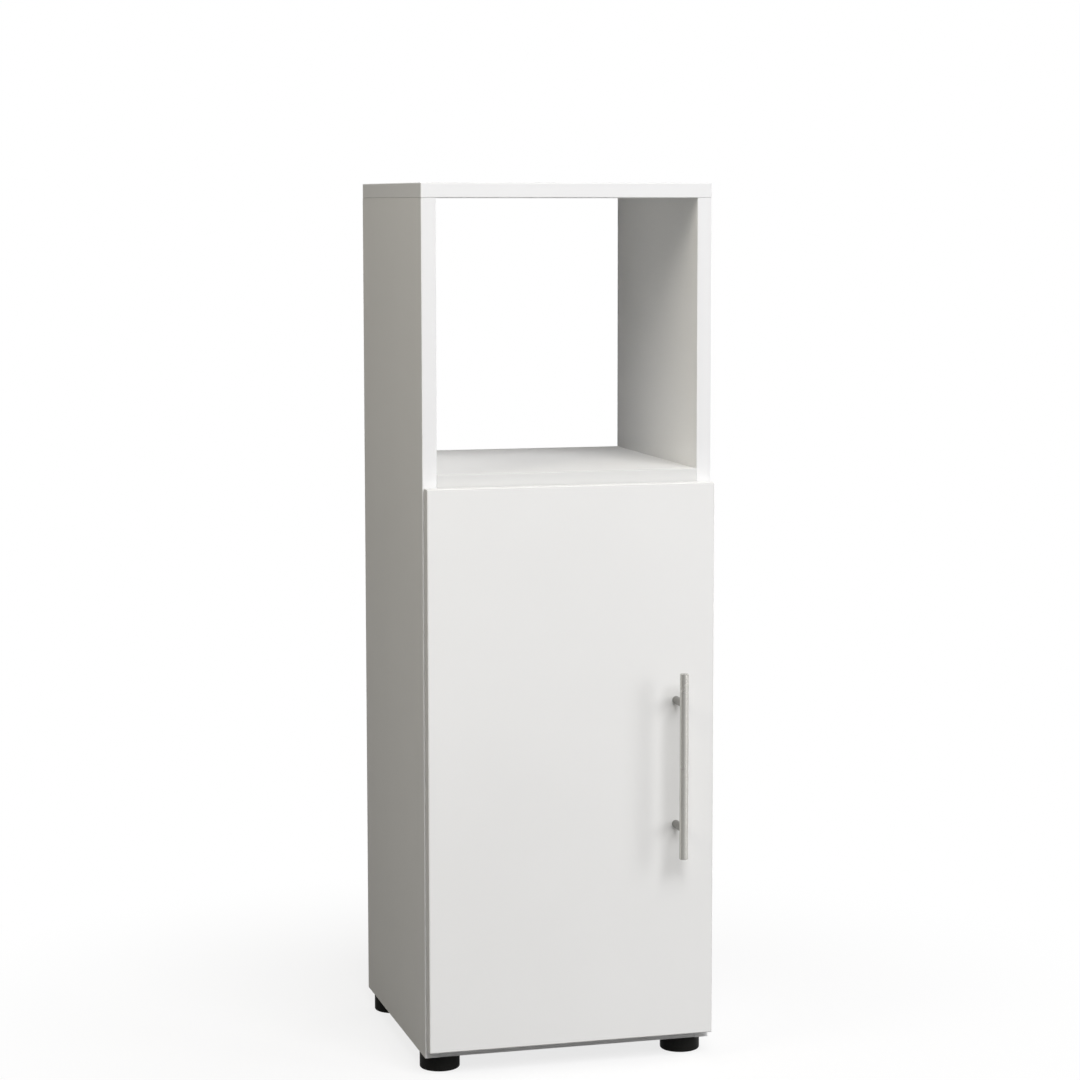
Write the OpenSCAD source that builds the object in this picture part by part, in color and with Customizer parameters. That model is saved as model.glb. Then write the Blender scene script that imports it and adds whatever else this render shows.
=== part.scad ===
// Tall storage cabinet for a bathroom: an open compartment over a door on concealed hinges.
// Millimetres, +Z up, the front faces -Y, origin at the middle of the footprint on the floor.

/* [Body] */
// Width of the body
body_w = 300; // [240:1:420]
// Height of the body above its feet
body_h = 880; // [760:1:1100]
// Depth of the body behind the door
body_d = 284; // [240:1:340]
// Thickness of the panels
board_t = 15; // [14:0.5:18]
// Radius of the arrises on the banded edges
arris_r = 1; // [0.5:0.1:1.5]
// Clear height of the open compartment
open_h = 273; // [180:1:340]

/* [Back panel] */
// Thickness of the back panel
back_t = 3; // [2.5:0.1:4]
// Depth of the grooves that hold the back panel
groove_depth = 6; // [4:0.5:7]
// Distance from the rear edges to the grooves
groove_inset = 9; // [7:0.5:14]
// Play of the back panel on each side in its grooves
back_play = 0.2; // [0.1:0.05:0.4]

/* [Loose shelf] */
// Height of the loose shelf's underside above the bottom panel, on the middle holes
shelf_rise = 274; // [200:1:330]
// Distance from the front of the body to the shelf's front edge
shelf_setback = 24; // [12:1:50]
// Play between the shelf and each side
shelf_play = 1.5; // [1.2:0.1:3]
// Play between the shelf and the back panel
shelf_back_play = 2; // [1:0.5:6]
// Diameter of the shelf pins
pin_d = 5; // [4:0.5:6]
// Depth of the holes for the shelf pins
pin_depth = 9; // [7:0.5:11]
// Length of a pin that stands out of the side
pin_reach = 8; // [6:0.5:12]
// Distance from the front and rear edges of the side to the pin holes
pin_inset = 50; // [37:1:80]
// Pitch of the pin holes
hole_pitch = 32; // [25:1:40]

/* [Door] */
// Thickness of the door
door_t = 15; // [14:0.5:18]
// Gap between the body and the closed door
door_gap = 1.5; // [1.2:0.1:2]
// Width of the body that the door leaves bare at each side
door_reveal = 1; // [0.5:0.1:2]
// Height of the door's lower edge above the underside of the body
door_rise = 9; // [5:0.5:13]
// Overlap of the door on the divider
door_lap = 2; // [2:0.5:8]
// Diameter of the door bumpers
bumper_d = 8; // [6:0.5:10]
// Distance from the door's top and bottom edges to the bumpers
bumper_inset = 25; // [15:1:50]
// Clearance left in front of the bumpers when the door is shut
bumper_clear = 0.4; // [0.3:0.05:0.6]

/* [Handle] */
// Diameter of the handle bar
bar_d = 9; // [8:0.5:12]
// Length of the handle bar
bar_len = 190; // [160:1:260]
// Distance between the centres of the two posts
post_pitch = 128; // [96:32:128]
// Diameter of the posts
post_d = 8; // [6:0.5:8]
// Distance from the door to the front of the bar
handle_reach = 32; // [26:1:40]
// Distance from the door's edge to the handle
handle_inset = 40; // [30:1:70]
// Diameter of the handle screws
handle_screw_d = 4; // [3:0.5:5]

/* [Feet] */
// Diameter of the feet
foot_d = 41; // [36:1:50]
// Height of the feet
foot_h = 18; // [14:1:30]
// Distance from the side of the body to a foot
foot_side_inset = 1; // [0:0.5:10]
// Distance from the front of the body to a front foot
foot_front_inset = 8.5; // [4:0.5:14]
// Distance from the rear of the body to a rear foot
foot_rear_inset = 10; // [4:0.5:14]
// Radius of the foot's lower edge
foot_edge_r = 2; // [1:0.5:3]
// Diameter of the foot screws
foot_screw_d = 4; // [3:0.5:5]

/* [Panel fittings] */
// Diameter of the cam locks
cam_d = 15; // [12:0.5:15]
// Distance from the panel's end to the middle of a cam lock
cam_reach = 24; // [20:1:34]
// Distance from the front and rear edges to the cam locks
cam_inset = 66; // [60:1:80]
// Diameter of the wooden dowels
dowel_d = 8; // [6:1:8]
// Length of the wooden dowels
dowel_len = 30; // [25:1:35]
// Depth of the dowel holes in the faces of the sides
dowel_face_depth = 10.5; // [8:0.5:12]

/* [Hinges] */
// Distance from the door's top and bottom edges to the middle of each hinge
hinge_inset = 100; // [80:1:140]
// Diameter of the hinge cups
cup_d = 35; // [35:1:40]
// Depth of the bores for the hinge cups
cup_depth = 12; // [11:0.5:12.5]
// Distance from the door's edge to the cup bore
cup_edge = 4; // [3:0.5:6]
// Distance from the front of the body to the screws of the mounting plates
plate_setback = 37; // [37:1:45]
// Spacing of the mounting plate screws
plate_pitch = 32; // [32:1:40]
// Diameter of the hinge pivot pins
pivot_d = 2; // [1.6:0.1:2]

/* [Hidden] */

$fn = 48;
// Clearance of round pieces in their bores, and overlap of cutting tools past a face
fit = 0.05;
cut = 1;

// The body: its faces in x, y and z
left_x = -body_w / 2;
right_x = body_w / 2;
left_inner_x = left_x + board_t;
right_inner_x = right_x - board_t;
inner_w = right_inner_x - left_inner_x;
whole_d = body_d + door_gap + door_t + handle_reach;
front_y = handle_reach + door_t + door_gap - whole_d / 2;
rear_y = front_y + body_d;
bottom_z = foot_h;
top_z = bottom_z + body_h;
top_under_z = top_z - board_t;
divider_z = top_under_z - open_h - board_t;
floor_z = bottom_z + board_t;

// The back panel in its grooves
groove_w = back_t + 2 * back_play;
groove_y = rear_y - groove_inset - groove_w;
back_y = groove_y + back_play;
back_margin = groove_depth - 2 * back_play;

// The loose shelf and its pins
shelf_z = floor_z + shelf_rise;
shelf_y = front_y + shelf_setback;
shelf_d = back_y - shelf_back_play - shelf_y;
pin_z = shelf_z - pin_d / 2;
pin_ys = [front_y + pin_inset, rear_y - pin_inset];

// The door
door_w = body_w - 2 * door_reveal;
door_z = bottom_z + door_rise;
door_h = divider_z + door_lap - door_z;
door_x = left_x + door_reveal;
door_back_y = front_y - door_gap;
door_front_y = door_back_y - door_t;
bumper_t = door_gap - bumper_clear;

// The handle and its screws
handle_x = door_x + door_w - handle_inset;
handle_z = door_z + door_h / 2;
bar_y = door_front_y - handle_reach + bar_d / 2;
bar_chamfer = 0.6;
post_zs = [handle_z + post_pitch / 2, handle_z - post_pitch / 2];
handle_thread = 11;
handle_head_d = 2 * handle_screw_d;
handle_head_t = 2.4;
handle_hole_play = 0.5;

// The feet: a moulded shell with a boss for the screw
foot_wall = 2.5;
foot_roof = 5;
foot_rib_t = 1.6;
foot_boss_d = 15;
foot_head_d = 2.2 * foot_screw_d;
foot_head_t = 2.5;
foot_head_play = 0.8;
foot_hole_play = 0.3;
foot_seat_t = 1;
foot_screw_grip = 11;
foot_xs = [left_x + foot_side_inset + foot_d / 2, right_x - foot_side_inset - foot_d / 2];
foot_ys = [front_y + foot_front_inset + foot_d / 2, rear_y - foot_rear_inset - foot_d / 2];

// Cam locks, their bolts and the dowels between panels
cam_depth = 12.5;
cam_skin = 0.2;
cam_head_d = 6.6;
cam_head_t = 4;
cam_neck_d = 3.4;
cam_bolt_play = 0.3;
cam_slot_w = 1.4;
cam_slot_depth = 2;
bolt_bore_d = 8;
bolt_collar_t = 2;
bolt_shank_d = 5;
bolt_grip = 11;
end_dowel_gap = 32;
cam_ys = [front_y + cam_inset, rear_y - cam_inset];
dowel_ys = [cam_ys[0] + end_dowel_gap, cam_ys[1] - end_dowel_gap];
top_dowel_inset = 40;
top_dowel_ys = [front_y + top_dowel_inset, (front_y + rear_y) / 2, rear_y - top_dowel_inset];
dowel_gap = 0.4;
top_dowel_depth = 10;

// Hinges, in a plane frame with x from the left side's inner face and y from the body's front
hinge_zs = [door_z + door_h - hinge_inset, door_z + hinge_inset];
cup_x = door_reveal - board_t + cup_edge + cup_d / 2;
cup_wall = 1;
cup_floor = 1;
cup_inner_r = cup_d / 2 - cup_wall;
cup_flange_t = 1;
cup_flange_r = cup_d / 2 + 1.5;
cup_screw_offset = 6;
cup_screw_rise = cup_d / 2 + 6.5;
cup_screw_d = 3.5;
cup_screw_head_d = 6.4;
cup_screw_head_t = 1.8;
cup_screw_grip = 10.5;
cup_screw_spare = 0.5;
cup_hole_depth = cup_screw_grip + cup_screw_spare;
cup_play = 0.3;
cup_seat = 0.1;
cup_wing_r = 4.5;
// How far the arm's pivots lie from the middle of the cup, and behind or below the faces
arm_outer_side = 2.5;
arm_outer_rise = 8;
arm_inner_side = 10;
arm_inner_sink = 5.5;
// How far the cup's pivots lie from its wall, from each other and below its rim
cup_outer_side = 3.5;
cup_outer_sink = 3;
cup_pivot_step = 5;
cup_inner_sink = 3.5;
// Pivots: outer link on the arm, inner link on the arm, outer and inner link in the cup
arm_outer = [cup_x + arm_outer_side, arm_outer_rise];
arm_inner = [cup_x + arm_inner_side, -door_gap - arm_inner_sink];
cup_outer = [cup_x - cup_d / 2 + cup_outer_side, -door_gap - cup_outer_sink];
cup_inner = [cup_outer[0] + cup_pivot_step, -door_gap - cup_inner_sink];
pivot_r = pivot_d / 2;
pivot_bore_r = pivot_r + fit;
// Layers along the pivot axes, outwards from the middle of the hinge
outer_link_half = 4;
inner_link_low = 6;
inner_link_high = 7.6;
arm_low = 8;
arm_high = 9.5;
stub_low = 7.9;
// The outer link hooks round the edge of the side and, when open, of the cup
hook_side = 9.3;
hook_sink = 0.1;
hook_centre = [cup_x - hook_side, -door_gap - hook_sink];
hook_r = 4.8;
hook_t = 2;
link_t = 1.8;
hook_from = 235;
hook_to = 323;
knuckle_r = 1.8;
eye_r = 2.3;
flange_keep = 9;
// The web between the cheeks of the inner link, from pivot to pivot
link_web_t = 1.2;
link_web_sink = 2.3;
link_web_from = 7;
link_web_to = 3.5;
link_bar_w = 4.6;
link_bar_sink = 0.6;
link_bar_from = 6;
link_bar_to = 3;
link_tail_wall = 0.7;
link_rivet_step = 0.2;
// The arm: a channel over the block of the mounting plate
arm_web_x = arm_outer[0] + 2.8;
arm_web_t = 1.4;
arm_neck = 7;
arm_lid = 0.5;
arm_chamfer = 3;
arm_rear = 72;
arm_skirt_x = 3.4;
arm_nose_r = 2.6;
arm_nose_side = 0.1;
arm_nose_rise = 1;
arm_web_inset = 0.2;
plate_t = 2.4;
plate_wing_r = 6;
plate_rear = 68;
plate_front = 20;
plate_screw_d = 4;
plate_screw_head_d = 7;
plate_screw_head_t = 2;
plate_screw_grip = 12;
plate_play = 0.4;
plate_side_play = 0.3;
arm_screw_d = 5;
arm_screw_head_d = 7.5;
arm_screw_head_t = 1.8;
arm_screw_grip = 7;
arm_screw_ys = [30, 58];
arm_slot_w = arm_screw_d - 0.6;

white = [0.93, 0.93, 0.9];
nickel = [0.72, 0.7, 0.67];
steel = [0.78, 0.78, 0.78];
black = [0.13, 0.13, 0.13];
zinc = [0.66, 0.67, 0.68];
beech = [0.82, 0.68, 0.48];
clear = [0.85, 0.86, 0.85];

// Round bars along +X and +Y
module rod_x(r, len) {
    rotate([0, 90, 0]) cylinder(r = r, h = len);
}

module rod_y(r, len) {
    rotate([-90, 0, 0]) cylinder(r = r, h = len);
}

// Section of a board whose front edge, at x = 0, is banded and has its two arrises rounded
module banded_section(depth, thick) {
    translate([arris_r, 0]) square([depth - arris_r, thick]);
    translate([0, arris_r]) square([2 * arris_r, thick - 2 * arris_r]);
    for (y = [arris_r, thick - arris_r]) translate([arris_r, y]) circle(r = arris_r);
}

// Rectangle with four small rounded corners
module eased_rect(w, h) {
    translate([arris_r, 0]) square([w - 2 * arris_r, h]);
    translate([0, arris_r]) square([w, h - 2 * arris_r]);
    for (x = [arris_r, w - arris_r], y = [arris_r, h - arris_r]) translate([x, y]) circle(r = arris_r);
}

// Flat board, front edge banded, from the corner [0, 0, 0]
module flat_board(w, depth) {
    rotate([90, 0, 90]) linear_extrude(w) banded_section(depth, board_t);
}

// Panel banded on all four edges, flat on z = 0
module edged_panel(w, depth, thick) {
    intersection() {
        rotate([90, 0, 90]) linear_extrude(w) eased_rect(depth, thick);
        translate([0, depth, 0]) rotate([90, 0, 0]) linear_extrude(depth) eased_rect(w, thick);
        linear_extrude(thick) eased_rect(w, depth);
    }
}

// Bores in one face of a side for a panel whose underside is at z, drilled towards -X from x = 0
module side_fitting_bores(z) {
    for (y = cam_ys) translate([-bolt_grip - fit, y, z + board_t / 2])
        rod_x(bolt_shank_d / 2 + fit, bolt_grip + cut);
    for (y = dowel_ys) translate([-dowel_face_depth, y, z + board_t / 2])
        rod_x(dowel_d / 2 + fit, dowel_face_depth + cut);
}

// The left side, drawn with its inner face at x = 0
module side_blank() {
    difference() {
        translate([-board_t, front_y, bottom_z])
            linear_extrude(body_h - board_t) mirror([1, -1, 0]) banded_section(body_d, board_t);
        side_fitting_bores(bottom_z);
        side_fitting_bores(divider_z);
        for (y = pin_ys, step = [-1:1]) translate([-pin_depth, y, pin_z + step * hole_pitch])
            rod_x(pin_d / 2 + fit, pin_depth + cut);
        for (y = top_dowel_ys)
            translate([-board_t / 2, y, top_under_z - dowel_len + top_dowel_depth - dowel_gap])
                cylinder(r = dowel_d / 2 + fit, h = dowel_len);
        translate([-groove_depth, groove_y, bottom_z - cut])
            cube([groove_depth + cut, groove_w, divider_z + groove_depth - bottom_z + cut]);
    }
}

module left_side() {
    color(white) difference() {
        translate([left_inner_x, 0, 0]) side_blank();
        for (z = hinge_zs, side = [-1, 1])
            translate([left_inner_x - plate_screw_grip - fit, front_y + plate_setback, z + side * plate_pitch / 2])
                rod_x(plate_screw_d / 2 + fit, plate_screw_grip + cut);
    }
}

module right_side() {
    color(white) translate([right_inner_x, 0, 0]) mirror([1, 0, 0]) side_blank();
}

module top_panel() {
    color(white) difference() {
        translate([left_x, front_y, top_under_z]) edged_panel(body_w, body_d, board_t);
        for (x = [left_x + board_t / 2, right_x - board_t / 2], y = top_dowel_ys)
            translate([x, y, top_under_z - cut]) cylinder(r = dowel_d / 2 + fit, h = top_dowel_depth + cut);
    }
}

// Runs its children for both ends of a panel, drawn from the end face at x = 0 towards -X
module at_panel_ends() {
    translate([right_inner_x, 0, 0]) children();
    translate([left_inner_x, 0, 0]) mirror([1, 0, 0]) children();
}

// A panel between the sides, with bores for cam locks, bolts and dowels at both ends
module joined_panel(z) {
    difference() {
        translate([left_inner_x, front_y, z]) flat_board(inner_w, body_d);
        at_panel_ends() {
            for (y = cam_ys) {
                translate([-cam_reach, y, z - cut]) cylinder(r = cam_d / 2, h = cam_depth + cut);
                translate([-cam_reach, y, z + board_t / 2]) rod_x(bolt_bore_d / 2, cam_reach + cut);
            }
            for (y = dowel_ys) translate([dowel_face_depth - dowel_len - dowel_gap, y, z + board_t / 2])
                rod_x(dowel_d / 2 + fit, dowel_len);
        }
    }
}

module bottom_panel() {
    color(white) difference() {
        joined_panel(bottom_z);
        translate([left_inner_x - cut, groove_y, floor_z - groove_depth])
            cube([inner_w + 2 * cut, groove_w, groove_depth + cut]);
        for (x = foot_xs, y = foot_ys) translate([x, y, bottom_z - cut])
            cylinder(r = foot_screw_d / 2 + fit, h = foot_screw_grip + cut);
    }
}

module divider_shelf() {
    color(white) difference() {
        joined_panel(divider_z);
        translate([left_inner_x - cut, groove_y, divider_z - cut])
            cube([inner_w + 2 * cut, groove_w, groove_depth + cut]);
    }
}

module back_panel() {
    color(white) translate([left_inner_x - back_margin, back_y, floor_z - back_margin])
        cube([inner_w + 2 * back_margin, back_t, divider_z - floor_z + 2 * back_margin]);
}

module loose_shelf() {
    color(white) translate([left_inner_x + shelf_play, shelf_y, shelf_z])
        flat_board(inner_w - 2 * shelf_play, shelf_d);
}

// A stepped steel pin: its root sits in the side and its collar on the side's face
module shelf_pins() {
    color(steel) for (y = pin_ys) at_panel_ends() translate([0, y, pin_z]) {
        rod_x(pin_d / 2, pin_depth - 2 * fit);
        translate([-1, 0, 0]) rod_x(pin_d / 2 + 1, 1);
        translate([-pin_reach, 0, 0]) rod_x(pin_d / 2, pin_reach);
    }
}

// A beech dowel with chamfered ends, along +Z from z = 0
module dowel() {
    tip = 1;
    len = dowel_len - dowel_gap;
    rotate_extrude() polygon([[0, 0], [dowel_d / 2 - tip, 0], [dowel_d / 2, tip],
        [dowel_d / 2, len - tip], [dowel_d / 2 - tip, len], [0, len]]);
}

module top_dowels() {
    color(beech) for (x = [left_x + board_t / 2, right_x - board_t / 2], y = top_dowel_ys)
        translate([x, y, top_under_z - dowel_len + top_dowel_depth]) dowel();
}

module panel_dowels(z) {
    color(beech) at_panel_ends() for (y = dowel_ys)
        translate([dowel_face_depth - dowel_len, y, z + board_t / 2]) rotate([0, 90, 0]) dowel();
}

module divider_dowels() {
    panel_dowels(divider_z);
}

module bottom_dowels() {
    panel_dowels(bottom_z);
}

// A cam lock seen from below: slotted for a driver, with a neck slot and a pocket for the bolt's head
module cam_lock() {
    axis_z = board_t / 2;
    difference() {
        cylinder(r = cam_d / 2 - fit, h = cam_depth - cam_skin);
        translate([-cam_head_t / 2, 0, axis_z]) rod_x(cam_head_d / 2 + cam_bolt_play, cam_head_t);
        translate([0, 0, axis_z]) rod_x(cam_neck_d / 2 + cam_bolt_play, cam_d);
        translate([0, -cam_d, axis_z]) rod_y(cam_head_d / 2 + cam_bolt_play, cam_d);
        for (turn = [0, 90]) rotate([0, 0, turn]) translate([-cam_d / 3, -cam_slot_w / 2, -cut])
            cube([2 * cam_d / 3, cam_slot_w, cam_slot_depth + cut]);
    }
}

module panel_cam_locks(z) {
    color(zinc) at_panel_ends() for (y = cam_ys) translate([-cam_reach, y, z]) cam_lock();
}

module divider_cam_locks() {
    panel_cam_locks(divider_z);
}

module bottom_cam_locks() {
    panel_cam_locks(bottom_z);
}

// A cam bolt along +X: its head is in the lock, its collar on the side's face, its root in the side
module cam_bolt() {
    head = cam_head_t / 2 - 2 * fit;
    neck = cam_d / 2;
    rotate([0, 90, 0]) rotate_extrude() polygon([[0, -head], [cam_head_d / 2, -head], [cam_head_d / 2, head],
        [cam_neck_d / 2, head], [cam_neck_d / 2, neck], [bolt_shank_d / 2, neck + 1],
        [bolt_shank_d / 2, cam_reach - bolt_collar_t], [bolt_bore_d / 2 - fit, cam_reach - bolt_collar_t],
        [bolt_bore_d / 2 - fit, cam_reach], [bolt_shank_d / 2, cam_reach],
        [bolt_shank_d / 2, cam_reach + bolt_grip - 1], [bolt_shank_d / 2 - 1, cam_reach + bolt_grip],
        [0, cam_reach + bolt_grip]]);
}

module panel_cam_bolts(z) {
    color(zinc) at_panel_ends() for (y = cam_ys) translate([-cam_reach, y, z + board_t / 2]) cam_bolt();
}

module divider_cam_bolts() {
    panel_cam_bolts(divider_z);
}

module bottom_cam_bolts() {
    panel_cam_bolts(bottom_z);
}

// A moulded foot on z = 0: rounded lower edge, hollow underside, ribs and a bored boss
module foot() {
    outer_r = foot_d / 2;
    head_z = foot_h - foot_roof;
    color(black) difference() {
        union() {
            difference() {
                rotate_extrude() {
                    translate([0, foot_edge_r]) square([outer_r, foot_h - foot_edge_r]);
                    square([outer_r - foot_edge_r, foot_h]);
                    translate([outer_r - foot_edge_r, foot_edge_r]) circle(r = foot_edge_r);
                }
                translate([0, 0, -cut]) cylinder(r = outer_r - foot_wall, h = head_z + cut);
            }
            cylinder(r = foot_boss_d / 2, h = head_z + cut);
            for (turn = [0:45:135]) rotate([0, 0, turn]) translate([foot_wall - outer_r, -foot_rib_t / 2, 1])
                cube([2 * (outer_r - foot_wall), foot_rib_t, head_z]);
        }
        translate([0, 0, -cut]) cylinder(r = foot_head_d / 2 + foot_head_play, h = head_z - foot_seat_t + cut);
        translate([0, 0, -cut]) cylinder(r = foot_screw_d / 2 + foot_hole_play, h = foot_h + 2 * cut);
    }
}

module foot_front_left() {
    translate([foot_xs[0], foot_ys[0], 0]) foot();
}

module foot_front_right() {
    translate([foot_xs[1], foot_ys[0], 0]) foot();
}

module foot_rear_left() {
    translate([foot_xs[0], foot_ys[1], 0]) foot();
}

module foot_rear_right() {
    translate([foot_xs[1], foot_ys[1], 0]) foot();
}

// A pan-head screw along +Z, the underside of its head at z = 0, with a cross recess and a point
module pan_screw(d, head_d, head_t, len) {
    difference() {
        rotate_extrude() polygon([[0, -head_t], [head_d / 2 - head_t / 2, -head_t], [head_d / 2, -head_t / 2],
            [head_d / 2, 0], [d / 2, 0], [d / 2, len - d / 2], [0, len]]);
        for (turn = [0, 90]) rotate([0, 0, turn])
            translate([-head_d / 4, -head_d / 16, -head_t - cut]) cube([head_d / 2, head_d / 8, head_t / 2 + cut]);
    }
}

module foot_screws() {
    head_z = foot_h - foot_roof - foot_seat_t;
    color(steel) for (x = foot_xs, y = foot_ys) translate([x, y, head_z])
        pan_screw(foot_screw_d, foot_head_d, foot_head_t, foot_h - head_z + foot_screw_grip);
}

module door() {
    color(white) difference() {
        translate([door_x, door_back_y, door_z]) rotate([90, 0, 0]) edged_panel(door_w, door_h, door_t);
        for (z = hinge_zs) hinge_at(z) {
            translate([cup_x, -door_gap - cup_depth, 0]) rod_y(cup_d / 2 + fit, cup_depth + cut);
            for (side = [-1, 1])
                translate([cup_x + cup_screw_offset, -door_gap - cup_hole_depth, side * cup_screw_rise])
                    rod_y(cup_screw_d / 2 + fit, cup_hole_depth + cut);
        }
        for (z = post_zs) translate([handle_x, door_front_y - cut, z])
            rod_y(handle_screw_d / 2 + handle_hole_play, door_t + 2 * cut);
    }
}

// A soft bumper stuck to the door, with a bevelled rim
module door_bumpers() {
    r = bumper_d / 2;
    color(clear) for (z = [door_z + bumper_inset, door_z + door_h - bumper_inset])
        translate([right_x - board_t / 2, door_back_y, z]) rotate([-90, 0, 0]) rotate_extrude()
            polygon([[0, 0], [r, 0], [r, bumper_t / 3], [r - 2 * bumper_t / 3, bumper_t], [0, bumper_t]]);
}

module handle_bar() {
    r = bar_d / 2;
    color(nickel) translate([handle_x, bar_y, handle_z - bar_len / 2]) rotate_extrude()
        polygon([[0, 0], [r - bar_chamfer, 0], [r, bar_chamfer], [r, bar_len - bar_chamfer],
            [r - bar_chamfer, bar_len], [0, bar_len]]);
}

// A post from the door to the bar, saddled to the bar and tapped for its screw
module handle_post(z) {
    color(nickel) difference() {
        translate([handle_x, bar_y, z]) rod_y(post_d / 2, door_front_y - bar_y);
        translate([handle_x, bar_y, z - post_d]) cylinder(r = bar_d / 2, h = 2 * post_d);
        translate([handle_x, door_front_y - handle_thread - cut, z])
            rod_y(handle_screw_d / 2 + fit, handle_thread + 2 * cut);
    }
}

module handle_post_upper() {
    handle_post(post_zs[0]);
}

module handle_post_lower() {
    handle_post(post_zs[1]);
}

module handle_screws() {
    color(steel) for (z = post_zs) translate([handle_x, door_back_y, z]) rotate([90, 0, 0])
        pan_screw(handle_screw_d, handle_head_d, handle_head_t, door_t + handle_thread);
}

// Places a hinge drawn in its plane frame at height z
module hinge_at(z) {
    translate([left_inner_x, front_y, z]) children();
}

// A straight bar of a link between two points of the plane, with round ends
module strut(from, to, wide) {
    span = to - from;
    translate(from) {
        circle(r = wide / 2);
        rotate(atan2(span[1], span[0])) translate([0, -wide / 2]) square([norm(span), wide]);
    }
    translate(to) circle(r = wide / 2);
}

// Extrudes its children symmetrically about z = 0
module slab(half) {
    translate([0, 0, -half]) linear_extrude(2 * half) children();
}

// Extrudes its children twice, between low and high on both sides of z = 0
module cheeks(low, high) {
    for (z = [low, -high]) translate([0, 0, z]) linear_extrude(high - low) children();
}

module pivot_bore(at) {
    translate([at[0], at[1], -arm_high - cut]) cylinder(r = pivot_bore_r, h = 2 * (arm_high + cut));
}

// Half length of a pin at a point of the cup that ends inside the cup's wall
function cup_reach(at) = sqrt(pow(cup_d / 2 - cup_seat, 2) - pow(cup_x - at[0] + pivot_r, 2));

// The cup: a drawn shell with a flange, two screw wings, and stubs for the inner link's pivot
module hinge_cup() {
    color(steel) {
        difference() {
            union() {
                translate([cup_x, -door_gap - cup_depth + cup_play, 0]) rod_y(cup_d / 2, cup_depth - cup_play);
                translate([cup_x, -door_gap, 0]) rod_y(cup_flange_r, cup_flange_t);
                for (side = [-1, 1]) translate([0, -door_gap + cup_flange_t, 0]) rotate([90, 0, 0])
                    linear_extrude(cup_flange_t)
                        strut([cup_x + cup_screw_offset, 0], [cup_x + cup_screw_offset, side * cup_screw_rise],
                            2 * cup_wing_r);
            }
            translate([cup_x, -door_gap - cup_depth + cup_play + cup_floor, 0]) rod_y(cup_inner_r, cup_depth + cut);
            for (side = [-1, 1]) translate([cup_x + cup_screw_offset, -door_gap - cut, side * cup_screw_rise])
                rod_y(cup_screw_d / 2 + fit, cup_flange_t + 2 * cut);
            // The flange stops short of the side's edge beside the outer link
            translate([cup_x - cup_flange_r - cut, -door_gap, -inner_link_high])
                cube([cup_flange_r - flange_keep, cup_flange_t + cut, 2 * inner_link_high]);
            pivot_bore(cup_outer);
        }
        stub_len = cup_reach(cup_inner) - stub_low;
        for (z = [stub_low, -stub_low - stub_len]) translate([cup_inner[0], cup_inner[1], z])
            cylinder(r = pivot_r, h = stub_len);
    }
}

module hinge_cup_upper() {
    hinge_at(hinge_zs[0]) hinge_cup();
}

module hinge_cup_lower() {
    hinge_at(hinge_zs[1]) hinge_cup();
}

module hinge_cup_screws() {
    color(steel) for (z = hinge_zs, side = [-1, 1]) hinge_at(z)
        translate([cup_x + cup_screw_offset, cup_flange_t - door_gap, side * cup_screw_rise])
            rotate([90, 0, 0])
                pan_screw(cup_screw_d, cup_screw_head_d, cup_screw_head_t, cup_flange_t + cup_screw_grip);
}

// Pins of the outer links in the cups
module hinge_cup_pins() {
    half = cup_reach(cup_outer);
    color(steel) for (z = hinge_zs) hinge_at(z) translate([cup_outer[0], cup_outer[1], -half])
        cylinder(r = pivot_r, h = 2 * half);
}

// Part of a flat ring, from one angle to another about the middle
module arc_band(r, wide, from, to) {
    reach = 2 * r;
    middle = (from + to) / 2;
    intersection() {
        difference() {
            circle(r = r + wide / 2);
            circle(r = r - wide / 2);
        }
        polygon([[0, 0], reach * [cos(from), sin(from)], 2 * reach * [cos(middle), sin(middle)],
            reach * [cos(to), sin(to)]]);
    }
}

// The outer link: a plate that hooks from the cup round the edge of the side to the arm
module outer_link() {
    hook_start = hook_centre + hook_r * [cos(hook_from), sin(hook_from)];
    hook_end = hook_centre + hook_r * [cos(hook_to), sin(hook_to)];
    color(nickel) difference() {
        slab(outer_link_half) {
            translate(cup_outer) circle(r = knuckle_r);
            strut(cup_outer, hook_start, link_t);
            translate(hook_centre) arc_band(hook_r, hook_t, hook_from, hook_to);
            strut(hook_end, arm_outer, link_t);
            translate(arm_outer) circle(r = eye_r);
        }
        pivot_bore(cup_outer);
        pivot_bore(arm_outer);
    }
}

module hinge_outer_link_upper() {
    hinge_at(hinge_zs[0]) outer_link();
}

module hinge_outer_link_lower() {
    hinge_at(hinge_zs[1]) outer_link();
}

// The inner link: two cheeks and a web, from the arm to the stubs of the cup
module inner_link() {
    tail_r = pivot_r + link_tail_wall;
    web_from = cup_inner + [link_web_from, -link_web_sink];
    web_to = arm_inner - [link_web_to, link_web_sink];
    bar_from = cup_inner + [link_bar_from, -link_bar_sink];
    bar_to = arm_inner - [link_bar_to, link_bar_sink];
    color(nickel) difference() {
        union() {
            cheeks(inner_link_low, inner_link_high) {
                strut(cup_inner, arm_inner, 2 * tail_r);
                strut(bar_from, bar_to, link_bar_w);
                translate(arm_inner) circle(r = eye_r);
            }
            slab(inner_link_high) strut(web_from, web_to, link_web_t);
        }
        pivot_bore(arm_inner);
        translate([cup_inner[0], cup_inner[1], -arm_high]) cylinder(r = pivot_r - link_rivet_step, h = 2 * arm_high);
    }
}

module hinge_inner_link_upper() {
    hinge_at(hinge_zs[0]) inner_link();
}

module hinge_inner_link_lower() {
    hinge_at(hinge_zs[1]) inner_link();
}

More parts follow.
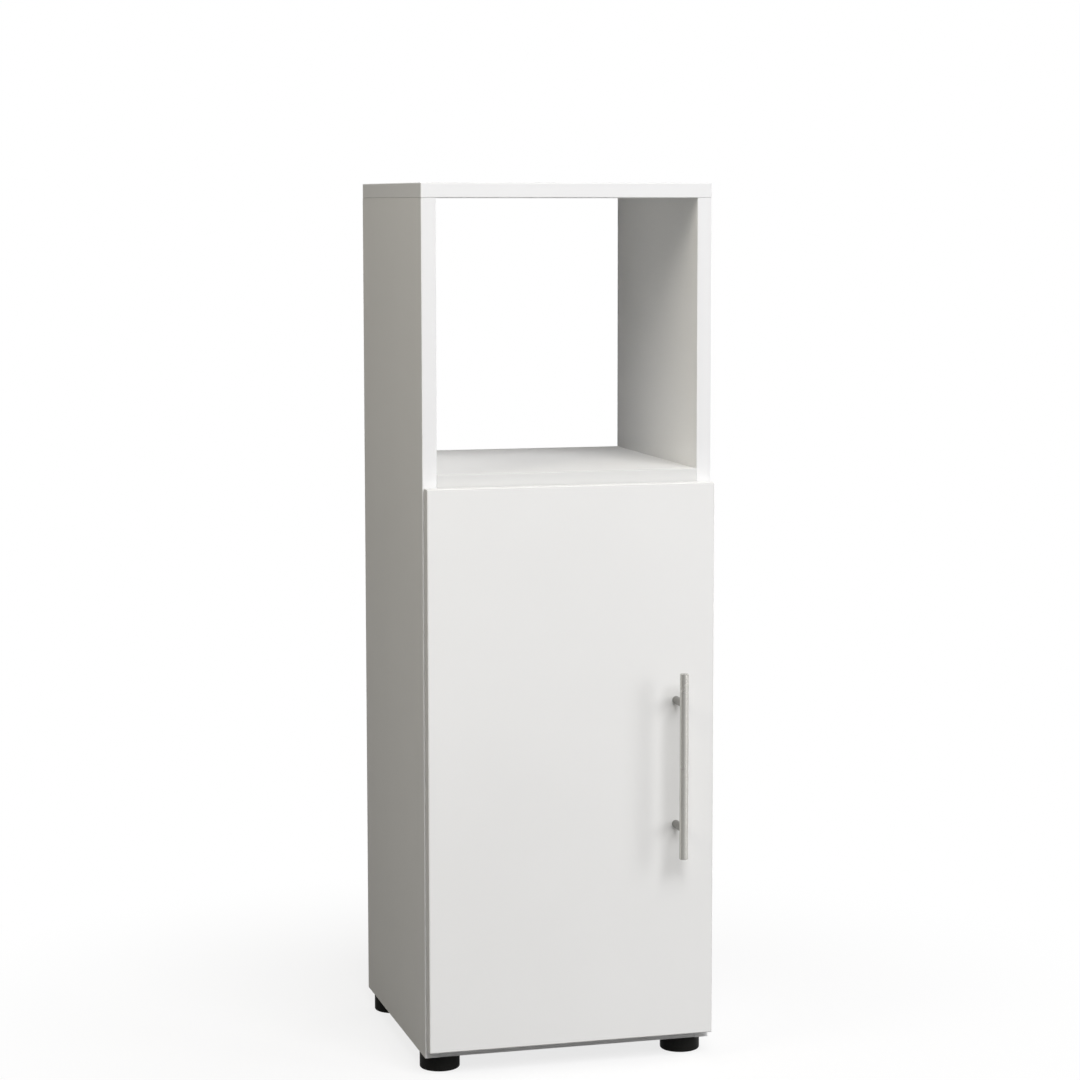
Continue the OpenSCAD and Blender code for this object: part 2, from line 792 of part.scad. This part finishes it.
// The arm: a channel whose web covers the plate and bends down over the links, with two cheeks
module hinge_arm() {
    web_outer_x = arm_web_x + arm_web_t;
    bend = [web_outer_x - arm_nose_r - arm_nose_side, arm_outer[1] + arm_nose_rise];
    nose = arm_inner - bend;
    out = [-nose[1], nose[0]] / norm(nose);
    lid_under = bend + (arm_nose_r - arm_web_t) * out;
    lid_over = bend + (arm_nose_r - arm_web_inset) * out;
    color(nickel) difference() {
        union() {
            cheeks(arm_low, arm_high) {
                polygon([[arm_skirt_x, arm_rear - arm_chamfer], [arm_skirt_x + arm_chamfer, arm_rear],
                    [web_outer_x, arm_rear], [web_outer_x, bend[1]], [arm_outer[0], bend[1]],
                    [arm_skirt_x, bend[1] + arm_neck]]);
                strut(arm_outer, [arm_outer[0], bend[1] + 2], 2 * eye_r);
                strut(arm_inner, bend, 2 * arm_nose_r);
            }
            slab(arm_high - arm_web_inset) {
                translate([arm_web_x, bend[1]]) square([arm_web_t, arm_rear - bend[1]]);
                polygon([lid_under, lid_over, lid_over + arm_lid * nose, lid_under + arm_lid * nose]);
            }
        }
        pivot_bore(arm_outer);
        pivot_bore(arm_inner);
        for (y = arm_screw_ys) translate([arm_web_x - cut, y, 0])
            rod_x(arm_screw_d / 2 + fit, arm_web_t + 2 * cut);
        // The rear screw's hole opens to the rear, so that the arm slides on under its head
        translate([arm_web_x - cut, arm_screw_ys[1], -arm_slot_w / 2])
            cube([arm_web_t + 2 * cut, arm_rear - arm_screw_ys[1] + cut, arm_slot_w]);
    }
}

module hinge_arm_upper() {
    hinge_at(hinge_zs[0]) hinge_arm();
}

module hinge_arm_lower() {
    hinge_at(hinge_zs[1]) hinge_arm();
}

module hinge_arm_pins() {
    color(steel) for (z = hinge_zs, at = [arm_outer, arm_inner]) hinge_at(z)
        translate([at[0], at[1], -arm_high]) cylinder(r = pivot_r, h = 2 * arm_high);
}

// The mounting plate: a winged base on the side with a block that fills the arm's channel
module hinge_plate() {
    block_x = arm_web_x - plate_play;
    block_half = arm_low - plate_side_play;
    color(nickel) difference() {
        union() {
            translate([0, plate_front, -block_half]) cube([block_x, plate_rear - plate_front, 2 * block_half]);
            rotate([90, 0, 90]) linear_extrude(plate_t)
                strut([plate_setback, -plate_pitch / 2], [plate_setback, plate_pitch / 2], 2 * plate_wing_r);
        }
        for (side = [-1, 1]) translate([-cut, plate_setback, side * plate_pitch / 2])
            rod_x(plate_screw_d / 2 + fit, plate_t + 2 * cut);
        for (y = arm_screw_ys) translate([plate_t, y, 0]) rod_x(arm_screw_d / 2 + fit, block_x);
    }
}

module hinge_plate_upper() {
    hinge_at(hinge_zs[0]) hinge_plate();
}

module hinge_plate_lower() {
    hinge_at(hinge_zs[1]) hinge_plate();
}

module hinge_plate_screws() {
    color(steel) for (z = hinge_zs, side = [-1, 1]) hinge_at(z)
        translate([plate_t, plate_setback, side * plate_pitch / 2]) rotate([0, -90, 0])
            pan_screw(plate_screw_d, plate_screw_head_d, plate_screw_head_t, plate_t + plate_screw_grip);
}

// Side and depth adjusting screws through the arm into the plate
module hinge_arm_screws() {
    color(steel) for (z = hinge_zs, y = arm_screw_ys) hinge_at(z)
        translate([arm_web_x + arm_web_t, y, 0]) rotate([0, -90, 0])
            pan_screw(arm_screw_d, arm_screw_head_d, arm_screw_head_t, arm_web_t + arm_screw_grip);
}

top_panel();
left_side();
right_side();
bottom_panel();
divider_shelf();
back_panel();
loose_shelf();
shelf_pins();
top_dowels();
divider_dowels();
bottom_dowels();
divider_cam_locks();
bottom_cam_locks();
divider_cam_bolts();
bottom_cam_bolts();
foot_front_left();
foot_front_right();
foot_rear_left();
foot_rear_right();
foot_screws();
door();
door_bumpers();
handle_bar();
handle_post_upper();
handle_post_lower();
handle_screws();
hinge_cup_upper();
hinge_cup_lower();
hinge_cup_screws();
hinge_cup_pins();
hinge_outer_link_upper();
hinge_outer_link_lower();
hinge_inner_link_upper();
hinge_inner_link_lower();
hinge_arm_upper();
hinge_arm_lower();
hinge_arm_pins();
hinge_plate_upper();
hinge_plate_lower();
hinge_plate_screws();
hinge_arm_screws();
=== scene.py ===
import math

import bmesh
import bpy
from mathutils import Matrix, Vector


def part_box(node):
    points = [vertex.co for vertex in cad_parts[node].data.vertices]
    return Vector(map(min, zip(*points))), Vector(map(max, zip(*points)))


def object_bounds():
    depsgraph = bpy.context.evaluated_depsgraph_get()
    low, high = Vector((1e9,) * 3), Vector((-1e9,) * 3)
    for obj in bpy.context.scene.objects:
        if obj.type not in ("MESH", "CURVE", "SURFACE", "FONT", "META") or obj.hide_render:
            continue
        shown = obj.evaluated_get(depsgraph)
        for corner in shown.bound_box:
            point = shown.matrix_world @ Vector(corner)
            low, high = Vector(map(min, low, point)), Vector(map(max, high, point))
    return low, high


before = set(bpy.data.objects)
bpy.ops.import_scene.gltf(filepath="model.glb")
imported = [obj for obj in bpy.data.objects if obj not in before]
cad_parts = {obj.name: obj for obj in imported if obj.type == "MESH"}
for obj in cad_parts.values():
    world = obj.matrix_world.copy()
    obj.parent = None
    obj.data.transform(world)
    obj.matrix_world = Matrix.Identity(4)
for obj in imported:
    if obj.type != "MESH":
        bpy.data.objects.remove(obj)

MM = 0.001
WHITE = (1, 1, 1, 1)

# Camera: lens and sensor in millimetres, place in metres, angles in degrees
LENS = 98.26
SENSOR = 36
SHIFT_X, SHIFT_Y = -0.03, -0.02
EYE = (-0.7855, -2.9558, 0.88)
TILT_DOWN = 6.147
TURN_RIGHT = 15.551
FARTHEST = 60

# Light tints, and the even light of the room
DAYLIGHT = (0.985, 0.985, 1.0)
NEUTRAL = (1.0, 1.0, 1.0)
WARM = (1.0, 0.955, 0.85)
PALE_WARM = (1.0, 0.98, 0.95)
ROOM_TINT = (1.0, 0.965, 0.90, 1)
ROOM_LEVEL = 0.02

# What metal mirrors, from the dim left of the room to its bright right
DIM_LEFT = 0.24
BRIGHT_RIGHT = 0.8

# Floor: half its width, its tones in the light it gives back and as seen, and its fade into white,
# which starts and ends at these distances from the middle and begins with this share of white
FLOOR_REACH = 14
FLOOR_BOUNCE = 0.25
FLOOR_SEEN = 0.95
FADE_FROM, FADE_TO = 0.2, 0.8
LEAST_WHITE = 0.78

# Melamine boards and their edge bands
FACE_DARK, FACE_LIGHT = (0.838, 0.835, 0.822), (0.858, 0.855, 0.842)
BAND_WHITE = (0.83, 0.83, 0.83)
BAND_DOOR = (0.83, 0.825, 0.815)
# Painted shade: the divider's front band is darker than the other bands, standing for the shade it lies
# in just above the door
SHADED_DIVIDER_BAND = (0.67, 0.67, 0.66)
JOINT_DIRT = (0.55, 0.52, 0.48)
BAND_T = 1 * MM
JOINT_W = 0.2 * MM
BAND_BLUR = 0.12 * MM

# Back panel: how far under its outside the raw fibre gives way to the lacquer
RAW_FROM, RAW_TO = 0.4 * MM, 0.3 * MM

low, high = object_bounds()


# ---------------------------------------------------------------- camera

def stand_camera():
    data = bpy.data.cameras.new("cabinet_camera")
    data.lens = LENS
    data.sensor_width = SENSOR
    data.shift_x = SHIFT_X
    data.shift_y = SHIFT_Y
    data.clip_end = FARTHEST
    camera = bpy.data.objects.new("cabinet_camera", data)
    camera.location = EYE
    camera.rotation_euler = (math.radians(90 - TILT_DOWN), 0, math.radians(-TURN_RIGHT))
    bpy.context.scene.collection.objects.link(camera)
    bpy.context.scene.camera = camera


# ---------------------------------------------------------------- studio

def soft_lamp(name, place, aim, size, watts, tint):
    data = bpy.data.lights.new(name, "AREA")
    data.shape = "RECTANGLE"
    data.size, data.size_y = size
    data.energy = watts
    data.color = tint
    lamp = bpy.data.objects.new(name, data)
    lamp.location = place
    lamp.rotation_euler = (Vector(aim) - Vector(place)).to_track_quat("-Z", "Y").to_euler()
    bpy.context.scene.collection.objects.link(lamp)


def step(tree, operation, first, second):
    """A Math node on two outputs, or on an output and a number."""
    node = tree.nodes.new("ShaderNodeMath")
    node.operation = operation
    tree.links.new(first, node.inputs[0])
    if isinstance(second, float):
        node.inputs[1].default_value = second
    else:
        tree.links.new(second, node.inputs[1])
    return node.outputs[0]


def fitted(tree, value, low, high, from_low=0.0, from_high=1.0, smooth=False):
    """A Map Range node that turns from_low and from_high into low and high."""
    fit = tree.nodes.new("ShaderNodeMapRange")
    if smooth:
        fit.interpolation_type = "SMOOTHSTEP"
    fit.inputs["From Min"].default_value = from_low
    fit.inputs["From Max"].default_value = from_high
    fit.inputs["To Min"].default_value = low
    fit.inputs["To Max"].default_value = high
    tree.links.new(value, fit.inputs["Value"])
    return fit.outputs["Result"]


def seen_directly(tree, mirrored):
    """1 on camera and glass rays, mirrored on mirror rays, 0 on the rays that light the room."""
    path = tree.nodes.new("ShaderNodeLightPath")
    mirror = step(tree, "MULTIPLY", path.outputs["Is Glossy Ray"], mirrored)
    straight = step(tree, "MAXIMUM", path.outputs["Is Camera Ray"], path.outputs["Is Transmission Ray"])
    return step(tree, "MAXIMUM", straight, mirror)


def right_side(tree, place, dim, bright):
    """Metal mirrors a bright room on the right and a dim one on the left; dim and bright are the X
    at which the change starts and ends."""
    split = tree.nodes.new("ShaderNodeSeparateXYZ")
    tree.links.new(place, split.inputs[0])
    return fitted(tree, split.outputs["X"], DIM_LEFT, BRIGHT_RIGHT, dim, bright, smooth=True)


def light_room():
    world = bpy.data.worlds.new("studio")
    bpy.context.scene.world = world
    world.use_nodes = True
    tree = world.node_tree
    tree.nodes.clear()
    around = tree.nodes.new("ShaderNodeTexCoord")
    right = right_side(tree, around.outputs["Generated"], dim=-0.15, bright=0.75)
    room = tree.nodes.new("ShaderNodeBackground")
    room.inputs["Color"].default_value = ROOM_TINT
    room.inputs["Strength"].default_value = ROOM_LEVEL
    white = tree.nodes.new("ShaderNodeBackground")
    white.inputs["Color"].default_value = WHITE
    white.inputs["Strength"].default_value = 1.0
    mix = tree.nodes.new("ShaderNodeMixShader")
    tree.links.new(seen_directly(tree, right), mix.inputs["Fac"])
    tree.links.new(room.outputs[0], mix.inputs[1])
    tree.links.new(white.outputs[0], mix.inputs[2])
    out = tree.nodes.new("ShaderNodeOutputWorld")
    tree.links.new(mix.outputs[0], out.inputs["Surface"])


def hang_lamps():
    """A wide window in front, a strip that draws the streak on the handle, and fills round the rest."""
    middle = (0, 0, 0.6)
    soft_lamp("window_lamp", (0.5, -4.9, 4.8), middle, size=(4.4, 3.2), watts=384, tint=DAYLIGHT)
    soft_lamp("strip_lamp", (2.4, -2.0, 1.3), (0, 0, 0.5), size=(0.9, 1.8), watts=23, tint=NEUTRAL)
    soft_lamp("room_lamp", (-1.6, -0.7, 1.75), (0, 0, 0.65), size=(1, 1), watts=13.6, tint=WARM)
    soft_lamp("side_lamp", (2.6, 0.1, 1.5), middle, size=(1.4, 1.4), watts=13, tint=PALE_WARM)
    soft_lamp("rear_lamp", (2.6, 2.1, 1.1), (0, 0.1, 0.5), size=(1.6, 1.6), watts=28, tint=PALE_WARM)


def floor_finish():
    """Plain white, which fades into the white backdrop away from the cabinet."""
    pale = bpy.data.materials.new("pale_floor")
    pale.use_nodes = True
    tree = pale.node_tree
    tree.nodes.clear()
    place = tree.nodes.new("ShaderNodeTexCoord")
    seen = seen_directly(tree, right_side(tree, place.outputs["Object"], dim=-0.3, bright=1.2))
    reach = tree.nodes.new("ShaderNodeVectorMath")
    reach.operation = "LENGTH"
    tree.links.new(place.outputs["Object"], reach.inputs[0])
    fade = fitted(tree, reach.outputs["Value"], LEAST_WHITE, 1.0, FADE_FROM, FADE_TO, smooth=True)
    share = step(tree, "MULTIPLY", seen, fade)
    lit = tree.nodes.new("ShaderNodeBsdfDiffuse")
    tree.links.new(fitted(tree, seen, FLOOR_BOUNCE, FLOOR_SEEN), lit.inputs["Color"])
    white = tree.nodes.new("ShaderNodeEmission")
    white.inputs["Color"].default_value = WHITE
    white.inputs["Strength"].default_value = 1.0
    mix = tree.nodes.new("ShaderNodeMixShader")
    tree.links.new(share, mix.inputs["Fac"])
    tree.links.new(lit.outputs[0], mix.inputs[1])
    tree.links.new(white.outputs[0], mix.inputs[2])
    out = tree.nodes.new("ShaderNodeOutputMaterial")
    tree.links.new(mix.outputs[0], out.inputs["Surface"])
    return pale


def lay_floor():
    sheet = bmesh.new()
    bmesh.ops.create_grid(sheet, x_segments=1, y_segments=1, size=FLOOR_REACH)
    bmesh.ops.translate(sheet, verts=sheet.verts, vec=(0, 0, low.z))
    mesh = bpy.data.meshes.new("studio_floor")
    sheet.to_mesh(mesh)
    sheet.free()
    mesh.materials.append(floor_finish())
    floor = bpy.data.objects.new("studio_floor", mesh)
    bpy.context.scene.collection.objects.link(floor)


# ---------------------------------------------------------------- finishes

class Finish:
    """One material: a principled shader whose inputs are fed by patterns on Object coordinates."""

    def __init__(self, name):
        self.material = bpy.data.materials.new(name)
        self.material.use_nodes = True
        self.tree = self.material.node_tree
        self.shader = self.tree.nodes["Principled BSDF"]
        coordinates = self.tree.nodes.new("ShaderNodeTexCoord")
        self.place = coordinates.outputs["Object"]
        self.last_bump = None

    def set(self, socket, value):
        self.shader.inputs[socket].default_value = value

    def link(self, output, socket):
        self.tree.links.new(output, self.shader.inputs[socket])

    def stretched(self, scale):
        mapping = self.tree.nodes.new("ShaderNodeMapping")
        mapping.inputs["Scale"].default_value = scale
        self.tree.links.new(self.place, mapping.inputs["Vector"])
        return mapping.outputs[0]

    def noise(self, scale, detail=3.0, roughness=0.5, along=None):
        texture = self.tree.nodes.new("ShaderNodeTexNoise")
        texture.inputs["Scale"].default_value = scale
        texture.inputs["Detail"].default_value = detail
        texture.inputs["Roughness"].default_value = roughness
        self.tree.links.new(along or self.place, texture.inputs["Vector"])
        return texture.outputs["Fac"]

    def cells(self, scale):
        texture = self.tree.nodes.new("ShaderNodeTexVoronoi")
        texture.inputs["Scale"].default_value = scale
        self.tree.links.new(self.place, texture.inputs["Vector"])
        return texture.outputs["Color"]

    def span(self, value, low, high, from_low=0.3, from_high=0.7):
        """Spread the middle of a pattern, or any given stretch of it, from low to high."""
        return fitted(self.tree, value, low, high, from_low, from_high)

    def tones(self, value, *stops):
        """A colour ramp; each stop is a position and a colour."""
        ramp = self.tree.nodes.new("ShaderNodeValToRGB")
        keys = ramp.color_ramp.elements
        keys[0].position, keys[0].color = stops[0][0], (*stops[0][1], 1)
        keys[1].position, keys[1].color = stops[-1][0], (*stops[-1][1], 1)
        for position, color in stops[1:-1]:
            keys.new(position).color = (*color, 1)
        self.tree.links.new(value, ramp.inputs["Fac"])
        return ramp.outputs["Color"]

    def mix(self, kind, share, first, second):
        """Mix two colours; the share is an output or 1.0, and each colour an output or a tuple."""
        node = self.tree.nodes.new("ShaderNodeMix")
        node.data_type = "RGBA"
        node.blend_type = kind
        if isinstance(share, float):
            node.inputs["Factor"].default_value = share
        else:
            self.tree.links.new(share, node.inputs["Factor"])
        for side, color in (("A", first), ("B", second)):
            socket = next(s for s in node.inputs if s.name == side and s.type == "RGBA")
            if isinstance(color, tuple):
                socket.default_value = (*color, 1)
            else:
                self.tree.links.new(color, socket)
        return next(s for s in node.outputs if s.type == "RGBA")

    def blend(self, share, first, second):
        return self.mix("MIX", share, first, second)

    def times(self, first, second):
        return self.mix("MULTIPLY", 1.0, first, second)

    def relief(self, height, strength, depth):
        bump = self.tree.nodes.new("ShaderNodeBump")
        bump.inputs["Strength"].default_value = strength
        bump.inputs["Distance"].default_value = depth
        self.tree.links.new(height, bump.inputs["Height"])
        if self.last_bump is not None:
            self.tree.links.new(self.last_bump, bump.inputs["Normal"])
        self.last_bump = bump.outputs["Normal"]
        self.link(self.last_bump, "Normal")


def edge_distance(f, board, edges):
    """How far a point lies inside the nearest banded edge of a board, in metres."""
    split = f.tree.nodes.new("ShaderNodeSeparateXYZ")
    f.tree.links.new(f.place, split.inputs[0])
    low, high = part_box(board)
    faces = {"front": ("Y", low[1], 1), "rear": ("Y", high[1], -1),
             "left": ("X", low[0], 1), "right": ("X", high[0], -1),
             "lower": ("Z", low[2], 1), "upper": ("Z", high[2], -1)}
    nearest = None
    for edge in edges:
        axis, plane, inward = faces[edge]
        offset = step(f.tree, "SUBTRACT", split.outputs[axis], float(plane))
        inside = step(f.tree, "MULTIPLY", offset, float(inward))
        nearest = inside if nearest is None else step(f.tree, "MINIMUM", nearest, inside)
    return nearest


def melamine(board, edges, band):
    """White melamine: an even white with the fine pearl of the press plate. The given edges carry a
    thin band of the given tone behind a hairline joint; a darker band tone is painted shade."""
    f = Finish(board + "_melamine")
    face = f.tones(f.noise(5, detail=2), (0.3, FACE_DARK), (0.7, FACE_LIGHT))
    # The ramps run over two bands' depth, so the joint lies at 0.5
    inside = f.span(edge_distance(f, board, edges), 0, 1, 0, 2 * BAND_T)
    blur = BAND_BLUR / (4 * BAND_T)
    gap = JOINT_W / (4 * BAND_T)
    banded = f.tones(inside, (0.5 - blur, (1, 1, 1)), (0.5 + blur, (0, 0, 0)))
    joint = f.tones(inside, (0.5 - gap, (1, 1, 1)), (0.5, JOINT_DIRT), (0.5 + gap, (1, 1, 1)))
    f.link(f.times(f.blend(banded, face, band), joint), "Base Color")
    f.link(f.span(f.noise(60, detail=4), 0.52, 0.60), "Roughness")
    f.set("Specular IOR Level", 0.1)
    f.relief(f.noise(750, detail=2, roughness=0.6), strength=0.10, depth=0.06 * MM)
    f.relief(f.noise(14, detail=1), strength=0.04, depth=0.8 * MM)
    return f.material


def hardboard():
    """Thin back board: white lacquer inside, raw brown fibre outside."""
    f = Finish("hardboard")
    split = f.tree.nodes.new("ShaderNodeSeparateXYZ")
    f.tree.links.new(f.place, split.inputs[0])
    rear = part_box("back_panel")[1][1]
    outside = f.span(split.outputs["Y"], 0, 1, rear - RAW_FROM, rear - RAW_TO)
    fibre = f.noise(420, detail=6, roughness=0.7, along=f.stretched((1, 1, 0.35)))
    raw = f.tones(fibre, (0.3, (0.27, 0.17, 0.095)), (0.5, (0.36, 0.235, 0.135)),
                  (0.72, (0.47, 0.33, 0.205)))
    lacquer = f.tones(f.noise(8, detail=2), (0.3, (0.80, 0.80, 0.78)), (0.7, (0.84, 0.84, 0.82)))
    f.link(f.blend(outside, lacquer, raw), "Base Color")
    f.link(f.span(f.noise(90), 0.5, 0.68), "Roughness")
    f.relief(fibre, strength=0.12, depth=0.1 * MM)
    return f.material


def brushed_nickel(name, axis, depth=1.0):
    """Nickel plate brushed round its own axis: fine rings, a warm grey sheen. depth below 1 darkens it
    as painted shade.
    """
    f = Finish(name)
    rings = f.noise(160, detail=5, roughness=0.75, along=f.stretched((1, 1, 28)))
    darker = (0.54 * depth, 0.53 * depth, 0.50 * depth)
    lighter = tuple(1.12 * part for part in darker)
    f.link(f.blend(f.span(rings, 0, 1), darker, lighter), "Base Color")
    f.set("Metallic", 1.0)
    f.link(f.span(f.noise(30, detail=3), 0.25, 0.28), "Roughness")
    # The rings draw a lamp's reflection out along the axis
    around = f.tree.nodes.new("ShaderNodeTangent")
    around.direction_type = "RADIAL"
    around.axis = axis
    f.link(around.outputs["Tangent"], "Tangent")
    f.set("Anisotropic", 0.75)
    f.set("Anisotropic Rotation", 0.25)
    f.relief(rings, strength=0.012, depth=0.02 * MM)
    return f.material


def pressed_steel():
    """Nickel-plated pressed steel of the hinges, with faint rolling marks and soft smudges."""
    f = Finish("pressed_steel")
    rolled = f.noise(240, detail=4, roughness=0.7, along=f.stretched((1, 0.12, 1)))
    smudge = f.noise(45, detail=4)
    f.link(f.blend(f.span(smudge, 0, 1), (0.50, 0.49, 0.47), (0.62, 0.615, 0.60)), "Base Color")
    f.set("Metallic", 1.0)
    f.link(f.span(smudge, 0.2, 0.34), "Roughness")
    f.relief(rolled, strength=0.10, depth=0.05 * MM)
    return f.material


def zinc():
    """Bright zinc of screws, cams and pins, slightly mottled."""
    f = Finish("bright_zinc")
    grain = f.noise(300, detail=4)
    f.link(f.blend(f.cells(900), (0.46, 0.47, 0.49), (0.60, 0.60, 0.60)), "Base Color")
    f.set("Metallic", 1.0)
    f.link(f.span(grain, 0.28, 0.44), "Roughness")
    f.relief(grain, strength=0.14, depth=0.05 * MM)
    return f.material


def beech():
    """Raw beech dowels: fine grain along the dowel with short dark flecks."""
    f = Finish("raw_beech")
    grain = f.noise(300, detail=5, roughness=0.65, along=f.stretched((0.2, 1, 1)))
    wood = f.tones(grain, (0.3, (0.50, 0.32, 0.17)), (0.55, (0.66, 0.47, 0.28)),
                   (0.75, (0.76, 0.58, 0.38)))
    f.link(wood, "Base Color")
    f.set("Roughness", 0.68)
    f.relief(grain, strength=0.2, depth=0.1 * MM)
    return f.material


def black_plastic():
    """Moulded black plastic with a fine spark grain."""
    f = Finish("black_moulding")
    cloud = f.noise(60, detail=3)
    f.link(f.tones(cloud, (0.3, (0.007, 0.007, 0.006)), (0.7, (0.011, 0.011, 0.010))), "Base Color")
    f.link(f.span(cloud, 0.46, 0.6), "Roughness")
    f.set("Specular IOR Level", 0.14)
    f.relief(f.noise(1300, detail=2), strength=0.22, depth=0.08 * MM)
    return f.material


def soft_pad():
    """Clear soft bumper."""
    f = Finish("clear_bumper")
    f.link(f.tones(f.noise(200), (0.3, (0.74, 0.76, 0.76)), (0.7, (0.82, 0.84, 0.84))), "Base Color")
    f.set("Roughness", 0.28)
    f.set("Transmission Weight", 0.55)
    f.set("IOR", 1.45)
    return f.material


# ---------------------------------------------------------------- dressing

def dress(finish, *nodes):
    for node in nodes:
        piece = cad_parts[node]
        piece.data.materials.clear()
        piece.data.materials.append(finish)


def dress_boards():
    for board in ("left_side", "right_side", "bottom_panel", "loose_shelf"):
        dress(melamine(board, ["front"], BAND_WHITE), board)
    # The divider's darker front band is painted shade
    dress(melamine("divider_shelf", ["front"], SHADED_DIVIDER_BAND), "divider_shelf")
    dress(melamine("top_panel", ["front", "rear", "left", "right"], BAND_WHITE), "top_panel")
    dress(melamine("door", ["left", "right", "lower", "upper"], BAND_DOOR), "door")
    dress(hardboard(), "back_panel")


def dress_fittings():
    dress(beech(), "top_dowels", "divider_dowels", "bottom_dowels")
    dress(brushed_nickel("bar_nickel", "Z"), "handle_bar")
    # Painted shade: the posts get the bar's nickel at half brightness
    dress(brushed_nickel("post_nickel_painted_shade", "Y", depth=0.5), "handle_post_upper", "handle_post_lower")
    dress(black_plastic(), "foot_front_left", "foot_front_right", "foot_rear_left", "foot_rear_right")
    dress(soft_pad(), "door_bumpers")
    dress(pressed_steel(), "hinge_cup_upper", "hinge_cup_lower", "hinge_outer_link_upper",
          "hinge_outer_link_lower", "hinge_inner_link_upper", "hinge_inner_link_lower",
          "hinge_arm_upper", "hinge_arm_lower", "hinge_plate_upper", "hinge_plate_lower")
    dress(zinc(), "shelf_pins", "divider_cam_locks", "bottom_cam_locks", "divider_cam_bolts",
          "bottom_cam_bolts", "foot_screws", "handle_screws", "hinge_cup_screws", "hinge_cup_pins",
          "hinge_arm_pins", "hinge_plate_screws", "hinge_arm_screws")


stand_camera()
light_room()
hang_lamps()
lay_floor()
dress_boards()
dress_fittings()

bpy.context.scene.view_settings.view_transform = "Standard"
